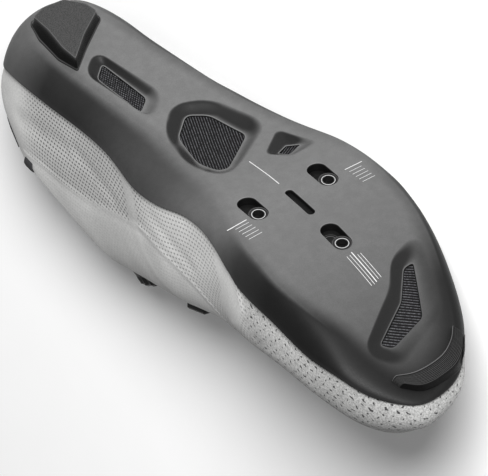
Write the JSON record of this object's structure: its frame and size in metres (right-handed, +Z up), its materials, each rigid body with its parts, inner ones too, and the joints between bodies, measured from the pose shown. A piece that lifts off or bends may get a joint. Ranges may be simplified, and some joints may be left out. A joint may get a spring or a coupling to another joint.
{
  "type": "cycling shoe",
  "caption": "Road cycling shoe with a knitted upper, stiff moulded sole with slotted cleat mounts, and a dial lace closure, lying on its side.",
  "frame": {"origin": "middle of the shoe's bounding box, at the floor it lies on", "axes": "+Z up from the floor, +Y roughly from heel to toe, +X from the sole towards the top of the foot"},
  "size_m": [0.121, 0.292, 0.1009],
  "materials": {
    "carbon_composite": "satin moulded carbon composite",
    "black_mesh": "black ribbed mesh",
    "black_plastic": "black moulded plastic",
    "steel": "machined steel",
    "rubber": "fine grained black rubber",
    "knit": "light grey knit",
    "foam_lining": "dark woven lining over foam"
  },
  "bodies": {
    "root": {"backing_plate_front": "black_plastic", "backing_plate_inner": "black_plastic", "backing_plate_outer": "black_plastic", "cable_guide_1": "black_plastic", "cable_guide_2": "black_plastic", "cable_guide_3": "black_plastic", "cable_guide_4": "black_plastic", "cable_guide_5": "black_plastic", "cleat_nut_front": "steel", "cleat_nut_inner": "steel", "cleat_nut_outer": "steel", "dial_base": "black_plastic", "dial_knob": "black_plastic", "heel_pad": "rubber", "heel_patch": "foam_lining", "insole": "foam_lining", "lace_cable": "black_plastic", "pull_tab": "black_plastic", "sole_plate": "carbon_composite", "toe_bumper": "rubber", "tongue": "foam_lining", "upper": "knit", "vent_insert_heel": "black_mesh", "vent_insert_middle": "black_mesh", "vent_insert_side": "black_mesh", "vent_insert_toe": "black_mesh"}
  },
  "joints": []
}
